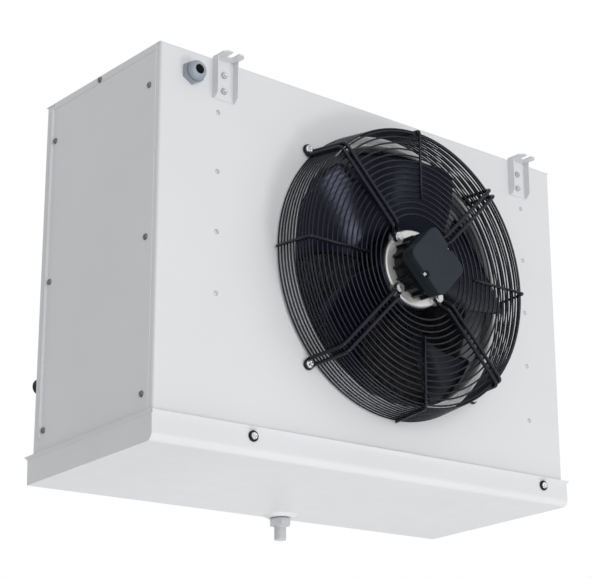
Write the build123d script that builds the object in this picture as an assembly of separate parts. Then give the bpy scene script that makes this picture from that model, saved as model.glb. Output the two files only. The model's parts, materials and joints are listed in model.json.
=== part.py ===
"""Ceiling-hung walk-in unit cooler with one axial fan, a wire guard and a hinged drain pan.

Millimetres.  The origin is the middle of the four hanger slots, in the ceiling plane on which the
hanger tabs bear.  +X runs along the front to the right, +Y to the rear, +Z up.
"""
import math
import os

from build123d import *

# ---- driving dimensions -------------------------------------------------------------------
SHEET = 1.2             # casing sheet thickness
CASE_W = 900.0          # casing width
CASE_D = 345.0          # casing depth
CASE_H = 600.0          # casing height, from the pan's rim to the top
HANG_X = 344.0          # hangers and coil bulkheads lie at plus and minus this
END_LEFT = 122.0        # left end compartment, beside the bulkhead
CEILING_GAP = 3.0       # from the ceiling plane down to the top panel

LEFT = -HANG_X - END_LEFT
RIGHT = LEFT + CASE_W
FRONT = -CASE_D / 2
REAR = CASE_D / 2
TOP = -CEILING_GAP
BOTTOM = TOP - CASE_H
PANEL_SKIRT = 26.0      # the casing reaches this far down inside the pan
SKIRT = BOTTOM - PANEL_SKIRT

BEND = 5.0              # outer radius of the casing bends
FRONT_RETURN = 42.0     # front panel's return along each side
TOP_LIP = 12.0          # top panel's turned-down lip
COVER_SETBACK = 12.0    # from the front face to the side cover
COVER_GRIP = 5.0        # outward flange on the cover's rear edge
SEAM = 0.4              # gap between sheets that meet flush
REAR_STRIP = 26.0       # rear panel left bare behind the side cover

GLAND_X = LEFT + 60.0   # cable gland on the front sheet
GLAND_Z = BOTTOM + 561.0
GLAND_BORE_R = 8.0      # cable hole in the domed nut

FAN_X = 19.0            # fan axis
FAN_Z = BOTTOM + 304.0
THROAT_R = 231.0        # venturi throat
BELL = 9.0              # venturi entry radius
VENTURI_LEN = 52.0
BLADE_R = 225.0
BLADES = 5
HUB_R = 70.0
BLADE_T = 2.4
BLADE_CAMBER = 0.07     # share of the chord
BLADE_SECTIONS = (      # radius, chord, pitch in degrees, angle of the section's middle
    (HUB_R - 1, 84.0, 40.0, 66.0),
    (150.0, 146.0, 28.0, 78.0),
    (BLADE_R, 214.0, 17.0, 89.0),
)
BOX_LONG = 92.0         # motor terminal box
BOX_SHORT = 79.0
BOX_H = 18.0
BOX_CORNER = 12.0
LID_H = 11.0
BOX_TURN = -44.0

GUARD_BASE_R = 252.0    # ring next to the panel
GUARD_RIM_R = 243.0     # ring at the front of the basket
GUARD_BASE_Y = FRONT - 6.0
GUARD_FRONT_Y = FRONT - 76.0
RING_WIRE = 2.6
SPOKE_WIRE = 5.0
ARM_WIRE = 6.0
ARM_GAP = 13.0          # between the two wires of one motor arm
WELD = 0.1              # crossing wires sink this far into each other
FACE_RINGS = 15
WALL_RINGS = 10
FACE_INNER_R = 92.0
SPOKE_INNER_R = 122.0

FLANGE_R = 68.0         # motor flange
FLANGE_T = 6.0
MOTOR_FRONT = FRONT - 63.5
CAP_R = 55.0            # ribbed motor end cap in front of the flange
CAP_H = 26.0
CAP_RIBS = 16
ARM_END_R = 60.0        # the arms end on the flange, under their screws
ARM_DIP_R = 88.0        # from here inwards they dip back to it
PAD_R = 63.0            # pads under the arms' ends
PAD_H = 2.0
SHAFT_R = 7.5
RUNNING = 0.05          # radial running clearance of the shaft

PAN_OVER = 5.0          # pan stands this far outside the casing
PAN_GAP = 2.5           # shadow gap between the casing's visible foot and the pan's lip
PAN_H = 46.0
PAN_TILT = 2.4          # degrees; the whole pan falls to the rear
PAN_T = 1.5
PAN_BEND = 13.0         # front foot's bend radius
LIP = 5.0
SUMP_R = 32.0           # drawn sump round the drain outlet
SUMP_H = 5.0
SUMP_TAPER = 10.0
DRAIN_X = 34.0
DRAIN_Y = REAR - 22.0
DRAIN_R = 11.0
DRAIN_BORE_R = 8.8
DRAIN_DROP = 40.0
DRAIN_FREE = 24.0       # free thread below the nut
DRAIN_NECK_R = 12.0     # plain neck through the nut and the pan
NUT_R = 19.5
HINGE_XS = (-HANG_X - 55.0, HANG_X + 45.0)    # pan hinges, under the two rear panels
HINGE_PIN_R = 3.0

COIL_ROWS = 2
COIL_TUBES = 11
TUBE_PITCH = 50.0
TUBE_R = 7.5
PIPE_X = LEFT + 40.0    # suction pipe, through the rear of the left compartment
PIPE_Z = BOTTOM + 118.0
COIL_REAR = REAR - 12.0
COIL_D = 110.0
COIL_TOP = TOP - 18.0
COIL_H = 574.0
FIN_T = 0.8
FIN_PITCH = 8.0

BLADE_Y = FRONT - 20.0  # middle of the blades
PIPE_END = REAR + 54.0

PAN_X0 = LEFT - PAN_OVER
PAN_X1 = RIGHT + PAN_OVER
PAN_Y0 = FRONT - PAN_OVER
PAN_Y1 = REAR + PAN_OVER + 1.0
PAN_TOP = BOTTOM - PAN_GAP
HINGE_BACK = 5.0        # hinge axis behind the pan's rear wall
HINGE_DROP = 8.0        # and below the pan's rim
TILT_SIN = math.sin(math.radians(PAN_TILT))
TILT_COS = math.cos(math.radians(PAN_TILT))
HINGE_REACH = PAN_Y1 + HINGE_BACK - PAN_Y0
HINGE_Y = PAN_Y0 + HINGE_REACH * TILT_COS - HINGE_DROP * TILT_SIN
HINGE_Z = PAN_TOP - HINGE_REACH * TILT_SIN - HINGE_DROP * TILT_COS


# ---- helpers ------------------------------------------------------------------------------
def slab(x0, x1, y0, y1, z0, z1):
    """Box between two corners."""
    middle = Pos((x0 + x1) / 2, (y0 + y1) / 2, (z0 + z1) / 2)
    return middle * Box(x1 - x0, y1 - y0, z1 - z0)


def along_y(x, y, z):
    """Placement whose local +Z points to the rear, along +Y."""
    return Location(Plane((x, y, z), x_dir=(1, 0, 0), z_dir=(0, 1, 0)))


def rod_y(x, z, y0, y1, radius):
    """Round bar along Y."""
    return along_y(x, (y0 + y1) / 2, z) * Cylinder(radius, y1 - y0)


def rod_x(y, z, x0, x1, radius):
    """Round bar along X."""
    return Pos((x0 + x1) / 2, y, z) * Rot(0, 90, 0) * Cylinder(radius, x1 - x0)


def rod_z(x, y, z0, z1, radius):
    """Upright round bar."""
    return Pos(x, y, (z0 + z1) / 2) * Cylinder(radius, z1 - z0)


def fan_point(radius, degrees, y):
    """Point at a radius and angle about the fan axis; the angle is seen from the front."""
    turn = math.radians(degrees)
    return (FAN_X + radius * math.cos(turn), y, FAN_Z + radius * math.sin(turn))


def turned(points):
    """Solid of revolution about the fan axis from (radius, y) points."""
    corners = [(FAN_X + radius, y) for radius, y in points]
    face = make_face(Plane.XY.offset(FAN_Z) * Polyline(*corners, close=True))
    return revolve(face, Axis((FAN_X, 0, FAN_Z), (0, 1, 0)), 360)


def bar_round(start, end, radius):
    """Round bar between two points."""
    run = Vector(*end) - Vector(*start)
    return extrude(Plane(start, z_dir=run) * Circle(radius), run.length, dir=run)


def screw_head(radius, height):
    """Screw head with a bevelled crown, seated on local z = 0 and standing along +Z."""
    head = Pos(0, 0, height / 2) * Cylinder(radius, height)
    return chamfer(head.edges().group_by(Axis.Z)[-1], height * 0.4)


def outward(x, y, z, direction):
    """Placement whose local +Z points along a direction."""
    return Location(Plane((x, y, z), z_dir=direction))


def sheet_u(x0, x1, y0, y1, z0, z1, corners):
    """Upright bent sheet: a rounded block's wall, open at the rear (corners front) or the front."""
    outer = Pos((x0 + x1) / 2, (y0 + y1) / 2) * Rectangle(x1 - x0, y1 - y0)
    side = 0 if corners == "front" else -1
    outer = fillet(outer.vertices().group_by(Axis.Y)[side], BEND)
    in_y0 = y0 + SHEET if corners == "front" else y0 - SHEET
    in_y1 = y1 + SHEET if corners == "front" else y1 - SHEET
    inner = Pos((x0 + x1) / 2, (in_y0 + in_y1) / 2) * Rectangle(x1 - x0 - 2 * SHEET, in_y1 - in_y0)
    inner = fillet(inner.vertices().group_by(Axis.Y)[side], BEND - SHEET)
    return Pos(0, 0, z0) * extrude(outer - inner, z1 - z0)


# ---- casing -------------------------------------------------------------------------------
def front_panel():
    """Front sheet with side returns and a venturi drawn inwards round the fan."""
    sheet = sheet_u(LEFT, RIGHT, FRONT, FRONT + FRONT_RETURN, SKIRT, TOP - SHEET, "front")
    sheet += slab(LEFT + BEND, RIGHT - BEND, FRONT + SHEET, FRONT + 16, TOP - 2 * SHEET, TOP - SHEET)
    sheet -= rod_y(FAN_X, FAN_Z, FRONT - 1, FRONT + SHEET + 1, THROAT_R + BELL)
    sheet -= rod_y(GLAND_X, GLAND_Z, FRONT - 1, FRONT + SHEET + 1, 12)
    mid = math.sqrt(0.5)
    outer_r = THROAT_R + BELL
    small = BELL - SHEET
    profile = [
        Line((outer_r, FRONT), (outer_r, FRONT + SHEET)),
        ThreePointArc((outer_r, FRONT + SHEET),
                      (outer_r - small * mid, FRONT + BELL - small * mid),
                      (THROAT_R + SHEET, FRONT + BELL)),
        Line((THROAT_R + SHEET, FRONT + BELL), (THROAT_R + SHEET, FRONT + VENTURI_LEN)),
        Line((THROAT_R + SHEET, FRONT + VENTURI_LEN), (THROAT_R, FRONT + VENTURI_LEN)),
        Line((THROAT_R, FRONT + VENTURI_LEN), (THROAT_R, FRONT + BELL)),
        ThreePointArc((THROAT_R, FRONT + BELL),
                      (outer_r - BELL * mid, FRONT + BELL - BELL * mid),
                      (outer_r, FRONT)),
    ]
    face = make_face(profile)
    venturi = revolve(Pos(FAN_X, 0, FAN_Z) * face, Axis((FAN_X, 0, FAN_Z), (0, 1, 0)), 360)
    return sheet + venturi


def top_panel():
    """Top sheet with lips turned down flush with the side covers, and a lip over the coil's top."""
    sheet = slab(LEFT - SHEET, RIGHT + SHEET, FRONT + 1, REAR, TOP - SHEET, TOP)
    for x0 in (LEFT - SHEET, RIGHT):
        sheet += slab(x0, x0 + SHEET, FRONT + COVER_SETBACK, REAR - REAR_STRIP, TOP - TOP_LIP, TOP)
    sheet += slab(-HANG_X + 25, HANG_X - 25, REAR - SHEET, REAR, TOP - 20, TOP)
    return sheet


def side_cover(side):
    """Flat end cover over both returns, its rear edge turned outwards as a grip."""
    x0 = LEFT - SHEET if side < 0 else RIGHT
    y1 = REAR - REAR_STRIP
    cover = slab(x0, x0 + SHEET, FRONT + COVER_SETBACK, y1, SKIRT, TOP - TOP_LIP - SEAM)
    edge = x0 if side < 0 else x0 + SHEET
    tip = edge + side * COVER_GRIP
    grip = slab(min(edge, tip), max(edge, tip), y1 - SHEET, y1, BOTTOM + 9, TOP - TOP_LIP - SEAM)
    foot = grip.edges().filter_by(Axis.Y).group_by(Axis.Z)[0]
    return cover + fillet(foot.sort_by(Axis.X)[0 if side < 0 else -1], 4)


def rear_panel(side):
    """Rear closing sheet of one end compartment, from the side return to the bulkhead."""
    far = -HANG_X if side < 0 else HANG_X
    edge = LEFT if side < 0 else RIGHT
    x0, x1 = min(edge, far), max(edge, far)
    outer = Pos((x0 + x1) / 2, REAR - 25) * Rectangle(x1 - x0, 50)
    inner_x = (x0 + SHEET, x1 + 5) if side < 0 else (x0 - 5, x1 - SHEET)
    inner = Pos(sum(inner_x) / 2, REAR - 30) * Rectangle(inner_x[1] - inner_x[0], 60 - 2 * SHEET)
    corner = 0 if side < 0 else -1
    outer = fillet(outer.vertices().group_by(Axis.X)[corner].sort_by(Axis.Y)[-1], BEND)
    inner = fillet(inner.vertices().group_by(Axis.X)[corner].sort_by(Axis.Y)[-1], BEND - SHEET)
    sheet = Pos(0, 0, SKIRT) * extrude(outer - inner, TOP - SHEET - SKIRT)
    if side < 0:
        sheet -= rod_y(PIPE_X, PIPE_Z, REAR - 10, REAR + 10, 14)
    return sheet


def bulkhead(side):
    """Coil end plate and partition, with flanges behind the front sheet and at the rear."""
    x0 = side * HANG_X - SHEET / 2
    x1 = x0 + SHEET
    reach = side * 22
    y0, y1 = FRONT + SHEET, REAR - SHEET
    z0, z1 = BOTTOM - 8, TOP - 2 * SHEET - 0.2
    plate = slab(x0, x1, y0, y1, z0, z1)
    plate += slab(min(x0, x0 + reach), max(x1, x1 + reach), y0, y0 + SHEET, z0, z1)
    plate += slab(min(x0, x0 + reach), max(x1, x1 + reach), y1 - SHEET, y1, z0, z1)
    return plate


def hanger(side, front):
    """Hanger channel: web on the casing, two cheeks outwards, forked tab under the ceiling."""
    web_w, cheek, plate_t, leg = 42.0, 15.0, 2.0, 70.0
    reach, tab_t, slot_w = 36.0, 2.5, 12.0
    x, y0 = side * HANG_X, 0.0
    body = slab(x - web_w / 2, x + web_w / 2, y0 - plate_t, y0, TOP - leg, 0)
    for edge in (-1, 1):
        outer = x + edge * web_w / 2
        inner = outer - edge * plate_t
        wing = slab(min(outer, inner), max(outer, inner), y0 - cheek, y0, TOP - leg, -tab_t)
        body += chamfer(wing.edges().filter_by(Axis.X).group_by(Axis.Y)[0].sort_by(Axis.Z)[0:1], 7)
    tab = slab(x - web_w / 2, x + web_w / 2, y0 - reach, y0, -tab_t, 0)
    tab = chamfer(tab.edges().filter_by(Axis.Z).group_by(Axis.Y)[0], 7)
    tab -= slab(x - slot_w / 2, x + slot_w / 2, y0 - reach - 1, y0 - 22, -tab_t - 1, 1)
    tab -= rod_z(x, y0 - 22, -tab_t - 1, 1, slot_w / 2)
    body += tab
    if front:
        return Pos(0, FRONT, 0) * body
    return Pos(0, REAR, 0) * mirror(body, Plane.XZ)


def hanger_screws():
    """Two hexagon screws through the web of each hanger."""
    heads = []
    for side in (-1, 1):
        for y, direction in ((FRONT - 2.0, -1), (REAR + 2.0, 1)):
            for drop in (26, 54):
                place = outward(side * HANG_X, y, TOP - drop, (0, direction, 0))
                hexagon = place * extrude(RegularPolygon(5.5, 6), 4)
                shank = place * Pos(0, 0, -4.2) * Cylinder(2.4, 8.4)
                heads.append(hexagon + shank)
    return heads


def panel_rivets():
    """Blind rivets that hold the front sheet to the two bulkheads."""
    rivets = []
    for side in (-1, 1):
        for k in range(5):
            z = BOTTOM + 100 + 102 * k
            if side > 0 or k > 0:
                place = outward(side * (HANG_X + 9), FRONT, z, (0, -1, 0))
                rivets.append(place * screw_head(3.2, 1.2) + place * Pos(0, 0, -1.2) * Cylinder(1.6, 2.4))
    return rivets


def cover_screws():
    """Pan-head screws round the two end covers and through the top sheet's lips."""
    screws = []
    for side, x in ((-1, LEFT - SHEET), (1, RIGHT + SHEET)):
        spots = [(FRONT + 29, BOTTOM + z) for z in (28, 278, 533)]
        spots += [(REAR - 34, BOTTOM + z) for z in (22, 275, 528)]
        spots += [(FRONT + 176, TOP - TOP_LIP / 2)]
        for y, z in spots:
            place = outward(x, y, z, (side, 0, 0))
            screws.append(place * screw_head(5.2, 2.6) + place * Pos(0, 0, -1.5) * Cylinder(1.9, 3))
    return screws


def top_screws():
    """Pan-head screws along the front edge of the top sheet."""
    screws = []
    for x in (LEFT + 46, LEFT + 206, LEFT + 308, LEFT + 516, LEFT + 700, RIGHT - 12):
        place = outward(x, FRONT + 9, TOP, (0, 0, 1))
        screws.append(place * screw_head(5.2, 2.6) + place * Pos(0, 0, -1.5) * Cylinder(1.9, 3))
    return screws


def gland_body():
    """Hexagonal plastic cable gland body on the front panel, with its clamping collar inside."""
    place = outward(GLAND_X, FRONT, GLAND_Z, (0, -1, 0))
    body = place * extrude(RegularPolygon(20, 6), 9)
    body += place * Pos(0, 0, -3) * Cylinder(12, 6.2)
    return body - place * Cylinder(GLAND_BORE_R + 1.5, 40)


def gland_cap():
    """Domed cap nut with the cable hole."""
    place = outward(GLAND_X, FRONT - 9, GLAND_Z, (0, -1, 0))
    cap = place * Pos(0, 0, 7) * Cylinder(16.5, 14)
    cap = fillet(cap.edges().group_by(Axis.Y)[0], 6)
    return cap - place * Cylinder(GLAND_BORE_R, 60)


# ---- coil ---------------------------------------------------------------------------------
def tube_rows():
    """Rows of tube centres as (y, z)."""
    first = COIL_REAR - COIL_D / 2 - (COIL_ROWS - 1) * TUBE_PITCH / 2
    low = COIL_TOP - COIL_H / 2 - (COIL_TUBES - 1) * TUBE_PITCH / 2
    return [[(first + row * TUBE_PITCH, low + k * TUBE_PITCH) for k in range(COIL_TUBES)]
            for row in range(COIL_ROWS)]


def coil_fins():
    """Plate fins of the coil, pressed on the tubes."""
    count = int((2 * HANG_X - 2 * SHEET) / FIN_PITCH)
    start = -(count - 1) * FIN_PITCH / 2
    return [slab(start + k * FIN_PITCH - FIN_T / 2, start + k * FIN_PITCH + FIN_T / 2,
                 COIL_REAR - COIL_D, COIL_REAR, COIL_TOP - COIL_H, COIL_TOP) for k in range(count)]


def coil_tubes():
    """Copper tubes through the fins and both bulkheads."""
    end = HANG_X + 14
    return [rod_x(y, z, -end, end, TUBE_R) for row in tube_rows() for y, z in row]


def return_bend(x, side, low, high):
    """Hairpin bend from one tube end to another, brazed on the tube ends."""
    (y0, z0), (y1, z1) = low, high
    radius = math.hypot(y1 - y0, z1 - z0) / 2
    mid = ((y0 + y1) / 2, (z0 + z1) / 2)
    path = ThreePointArc((x, y0, z0), (x + side * radius, *mid), (x, y1, z1))
    return sweep(Plane((x, y0, z0), z_dir=(side, 0, 0)) * Circle(TUBE_R), path)


def return_bends(side):
    """Hairpin bends of one coil end."""
    x = side * (HANG_X + 14)
    first = 1 if side > 0 else 0
    return [return_bend(x, side, row[k], row[k + 1])
            for row in tube_rows() for k in range(first, COIL_TUBES - 1, 2)]


def suction_pipe():
    """Suction header across the two rows, led out through the rear of the left compartment."""
    z = tube_rows()[0][-1][1]
    x = -HANG_X - 14
    y0, y1 = (row[-1][0] for row in tube_rows())
    y_mid = (y0 + y1) / 2
    header = rod_z(PIPE_X, y_mid, PIPE_Z - 18, z + 18, 12)
    for y in (y0, y1):
        header += bar_round((x, y, z), (PIPE_X, y_mid, z), TUBE_R - 1)
    header += rod_y(PIPE_X, PIPE_Z, y_mid, PIPE_END, 11)
    return header


def pipe_grommet():
    """Rubber grommet where the suction pipe leaves the rear sheet."""
    ring = rod_y(PIPE_X, PIPE_Z, REAR, REAR + 5, 17)
    ring += rod_y(PIPE_X, PIPE_Z, REAR - SHEET - 3, REAR, 14)
    return ring - rod_y(PIPE_X, PIPE_Z, REAR - 20, REAR + 20, 11)


def pipe_cap():
    """Soft cap that seals the suction pipe's open end."""
    cap = rod_y(PIPE_X, PIPE_Z, PIPE_END - 22, PIPE_END + 2, 14)
    cap = chamfer(cap.edges().group_by(Axis.Y)[-1], 2)
    return cap - rod_y(PIPE_X, PIPE_Z, PIPE_END - 30, PIPE_END, 11)


# ---- guard --------------------------------------------------------------------------------
def guard_ring(radius, y):
    """One wire ring, square in section, centred on y."""
    half = RING_WIRE / 2
    return turned([(radius - half, y - half), (radius + half, y - half),
                   (radius + half, y + half), (radius - half, y + half)])


def guard_face_rings():
    """Concentric rings of the guard's flat face."""
    step = (GUARD_RIM_R - 4 - FACE_INNER_R) / (FACE_RINGS - 1)
    return [guard_ring(FACE_INNER_R + step * k, GUARD_FRONT_Y) for k in range(FACE_RINGS)]


def guard_wall_rings():
    """Rings of the basket's sloping wall, from the rim back to the panel."""
    rings = []
    for k in range(WALL_RINGS + 1):
        share = (k + 0.35) / (WALL_RINGS + 0.35)
        radius = GUARD_RIM_R + (GUARD_BASE_R - GUARD_RIM_R) * share
        rings.append(guard_ring(radius, GUARD_FRONT_Y + (GUARD_BASE_Y - GUARD_FRONT_Y) * share))
    return rings


def basket_wire(degrees, offset, width, inner, foot_r):
    """Wire in front of the rings: inner (radius, y) corners, the rim, the base and an outer foot."""
    lift = RING_WIRE / 2 + width / 2 - WELD
    turn = math.radians(degrees)
    across = (-math.sin(turn) * offset, math.cos(turn) * offset)

    def spot(radius, y):
        x, _, z = fan_point(radius, degrees, y)
        return (x + across[0], y, z + across[1])

    corners = [spot(radius, y) for radius, y in inner]
    corners.append(spot(GUARD_RIM_R + lift, GUARD_FRONT_Y - lift))
    corners.append(spot(GUARD_BASE_R + lift, GUARD_BASE_Y))
    if foot_r > GUARD_BASE_R + lift:
        corners.append(spot(foot_r, FRONT - width / 2))
    start = Plane(corners[0], z_dir=Vector(*corners[1]) - Vector(*corners[0]), x_dir=(-across[1], 0, across[0])
                  if offset else (-math.sin(turn), 0, math.cos(turn)))
    return sweep(start * Rectangle(width, width), Polyline(*corners), transition=Transition.RIGHT)


def guard_spokes():
    """Four single wires that tie the rings, upright and level."""
    front = GUARD_FRONT_Y - RING_WIRE / 2 - SPOKE_WIRE / 2 + WELD
    return [basket_wire(angle, 0, SPOKE_WIRE, [(SPOKE_INNER_R, front)], 0) for angle in (0, 90, 180, 270)]


def guard_arms():
    """Four twin-wire arms that carry the motor and end in eyes screwed to the panel."""
    arms = []
    foot = GUARD_BASE_R + 12
    front = GUARD_FRONT_Y - RING_WIRE / 2 - ARM_WIRE / 2 + WELD
    inner = [(ARM_END_R, MOTOR_FRONT - PAD_H - ARM_WIRE / 2), (ARM_END_R + 14, MOTOR_FRONT - PAD_H - ARM_WIRE / 2),
             (ARM_DIP_R, front)]
    for angle in (45, 135, 225, 315):
        arm = basket_wire(angle, -ARM_GAP / 2, ARM_WIRE, inner, foot)
        arm += basket_wire(angle, ARM_GAP / 2, ARM_WIRE, inner, foot)
        x, _, z = fan_point(foot, angle, 0)
        eye = rod_y(x, z, FRONT - ARM_WIRE, FRONT, ARM_GAP / 2 + ARM_WIRE / 2)
        eye -= rod_y(x, z, FRONT - ARM_WIRE - 1, FRONT + 1, ARM_GAP / 2 - ARM_WIRE / 2)
        arms.append(arm + eye)
    return arms


def arm_screws():
    """Screws with wide heads that clamp the arms' ends on the flange's pads."""
    screws = []
    for angle in (45, 135, 225, 315):
        x, _, z = fan_point(PAD_R, angle, 0)
        place = outward(x, MOTOR_FRONT - PAD_H - ARM_WIRE, z, (0, -1, 0))
        hexagon = place * extrude(RegularPolygon(6.5, 6), 4)
        shank = place * Pos(0, 0, -ARM_WIRE / 2 - 2) * Cylinder(3, ARM_WIRE + 4)
        screws.append(place * Pos(0, 0, 0.6) * Cylinder(8.5, 1.2) + hexagon + shank)
    return screws


def guard_screws():
    """Washer-head screws through the eyes of the motor arms."""
    screws = []
    for angle in (45, 135, 225, 315):
        x, _, z = fan_point(GUARD_BASE_R + 12, angle, 0)
        place = outward(x, FRONT - ARM_WIRE, z, (0, -1, 0))
        screws.append(place * screw_head(7, 3) + place * Pos(0, 0, -5) * Cylinder(2.6, 10))
    return screws


# ---- motor and fan ------------------------------------------------------------------------
def motor_flange():
    """Die-cast stator flange with four arm pads and the bearing tube."""
    flange = rod_y(FAN_X, FAN_Z, MOTOR_FRONT, MOTOR_FRONT + FLANGE_T, FLANGE_R)
    flange = chamfer(flange.edges().group_by(Axis.Y)[0], 2)
    for angle in (45, 135, 225, 315):
        x, _, z = fan_point(PAD_R, angle, 0)
        flange += rod_y(x, z, MOTOR_FRONT - PAD_H, MOTOR_FRONT + FLANGE_T, 12)
    flange += rod_y(FAN_X, FAN_Z, MOTOR_FRONT + FLANGE_T, MOTOR_FRONT + 74, 16)
    bore = rod_y(FAN_X, FAN_Z, MOTOR_FRONT + 1, MOTOR_FRONT + 80, 11)
    return flange - bore


def motor_cap():
    """Black end cap on the flange, with radial cooling ribs and hollows for the arm screws."""
    y0 = MOTOR_FRONT - CAP_H
    cap = rod_y(FAN_X, FAN_Z, y0, MOTOR_FRONT, CAP_R - 5)
    for k in range(CAP_RIBS):
        place = along_y(FAN_X, (y0 + MOTOR_FRONT) / 2, FAN_Z) * Rot(0, 0, 360 * (k + 0.5) / CAP_RIBS)
        cap += place * Pos(CAP_R / 2, 0, 0) * Box(CAP_R, 5, CAP_H - 2)
    for angle in (45, 135, 225, 315):
        x, _, z = fan_point(PAD_R, angle, 0)
        cap -= rod_y(x, z, y0 - 1, MOTOR_FRONT + 1, 14)
    return cap


def stator_core():
    """Laminated stator on the bearing tube."""
    core = rod_y(FAN_X, FAN_Z, MOTOR_FRONT + 20, MOTOR_FRONT + 64, 52)
    return core - rod_y(FAN_X, FAN_Z, MOTOR_FRONT + 19, MOTOR_FRONT + 65, 16)


def shaft_bearings():
    """Two ball bearings in the bearing tube, drawn as plain rings."""
    rings = []
    for y in (MOTOR_FRONT + 3, MOTOR_FRONT + 62):
        ring = rod_y(FAN_X, FAN_Z, y, y + 10, 11)
        rings.append(ring - rod_y(FAN_X, FAN_Z, y - 1, y + 11, SHAFT_R + RUNNING))
    return rings


def rotor_cup():
    """External rotor: a cup round the stator, closed at the rear and pressed on the shaft."""
    y0, y1 = MOTOR_FRONT + FLANGE_T + 4, MOTOR_FRONT + 86
    cup = rod_y(FAN_X, FAN_Z, y0, y1, HUB_R - 4)
    cup = fillet(cup.edges().group_by(Axis.Y)[-1], 8)
    cup -= rod_y(FAN_X, FAN_Z, y0 - 1, y1 - 6, HUB_R - 12)
    return cup


def rotor_shaft():
    """Motor shaft, from the front bearing to the back of the rotor."""
    return rod_y(FAN_X, FAN_Z, MOTOR_FRONT + 2, MOTOR_FRONT + 80, SHAFT_R)


def blade(index):
    """Sickle blade: three cambered sections lofted from the hub to the tip."""
    sections = []
    for radius, chord, pitch, lead in BLADE_SECTIONS:
        angle = math.radians(index * 360 / BLADES + lead)
        axis = Vector(math.cos(angle), 0, math.sin(angle))
        place = Plane((FAN_X + axis.X * radius, BLADE_Y, FAN_Z + axis.Z * radius),
                      x_dir=(0, 1, 0), z_dir=axis)
        turn = math.radians(pitch)
        run = (math.sin(turn) * chord / 2, math.cos(turn) * chord / 2)
        normal = (math.cos(turn), -math.sin(turn))
        camber = chord * BLADE_CAMBER
        half = BLADE_T / 2
        low = (run[0] - normal[0] * BLADE_T, run[1] - normal[1] * BLADE_T)
        far = (-run[0] - normal[0] * BLADE_T, -run[1] - normal[1] * BLADE_T)
        outline = make_face([
            ThreePointArc((-run[0], -run[1]), (normal[0] * (camber + half), normal[1] * (camber + half)), run),
            Line(run, low),
            ThreePointArc(low, (normal[0] * (camber - half), normal[1] * (camber - half)), far),
            Line(far, (-run[0], -run[1])),
        ])
        sections.append(place * outline)
    return loft(sections)


def impeller():
    """Moulded impeller: hub band pressed over the rotor cup, with its blades."""
    y0, y1 = BLADE_Y - 32, BLADE_Y + 32
    wheel = rod_y(FAN_X, FAN_Z, y0, y1, HUB_R) - rod_y(FAN_X, FAN_Z, y0 - 1, y1 + 1, HUB_R - 4)
    swept = rod_y(FAN_X, FAN_Z, y0 - 40, y1 + 40, BLADE_R)
    for index in range(BLADES):
        wheel += blade(index) & swept
    return wheel


def box_place(y):
    """Placement on the motor's axis facing the front, turned with the terminal box."""
    return Location(Plane((FAN_X, y, FAN_Z), x_dir=(1, 0, 0), z_dir=(0, -1, 0))) * Rot(0, 0, BOX_TURN)


def rounded_block(long, short, height, corner):
    """Block with rounded upright corners, standing on local z = 0."""
    return extrude(RectangleRounded(long, short, corner), height)


def terminal_box():
    """Moulded terminal box on the motor's end cap."""
    return box_place(MOTOR_FRONT - CAP_H) * rounded_block(BOX_LONG, BOX_SHORT, BOX_H, BOX_CORNER)


def terminal_lid():
    """Lid of the terminal box, notched for a screw in the middle of each long side."""
    lid = rounded_block(BOX_LONG + 4, BOX_SHORT + 4, LID_H, BOX_CORNER + 2)
    lid = fillet(lid.edges().group_by(Axis.Z)[-1], 2.5)
    for side in (-1, 1):
        lid -= Pos(0, side * (BOX_SHORT / 2 + 0.5), 3 + LID_H / 2) * Cylinder(6, LID_H)
    return box_place(MOTOR_FRONT - CAP_H - BOX_H) * lid


def terminal_screws():
    """Two screws in the lid's notches."""
    place = box_place(MOTOR_FRONT - CAP_H - BOX_H - 3)
    return [place * Pos(0, side * (BOX_SHORT / 2 - 1.5), 0) * screw_head(3.6, 3) for side in (-1, 1)]


# ---- drain pan ----------------------------------------------------------------------------
def tilted(shape):
    """Shape of the level pan, turned down to the rear about the pan's front rim."""
    return Pos(0, PAN_Y0, PAN_TOP) * Rot(-PAN_TILT, 0, 0) * Pos(0, -PAN_Y0, -PAN_TOP) * shape


def pan_body(inset, top):
    """Level tray block, drawn in by an inset on every side but the top."""
    block = slab(PAN_X0 + inset, PAN_X1 - inset, PAN_Y0 + inset, PAN_Y1 - inset, PAN_TOP - PAN_H + inset, top)
    front_foot = block.edges().filter_by(Axis.X).group_by(Axis.Z)[0].sort_by(Axis.Y)[0]
    return fillet(front_foot, PAN_BEND - inset)


def frustum(x, y, low, low_size, high, high_size):
    """Tapered rectangular block between two heights."""
    bottom = Pos(x, y, low) * Rectangle(*low_size)
    upper = Pos(x, y, high) * Rectangle(*high_size)
    return loft([bottom, upper])


def sump_cone(x, y, top, bottom, shrink):
    """Solid cone of the sump between two heights of the level pan."""
    cone = Cone(SUMP_R - SUMP_TAPER - shrink, SUMP_R - shrink, top - bottom)
    return Pos(x, y, (top + bottom) / 2) * cone


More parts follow.
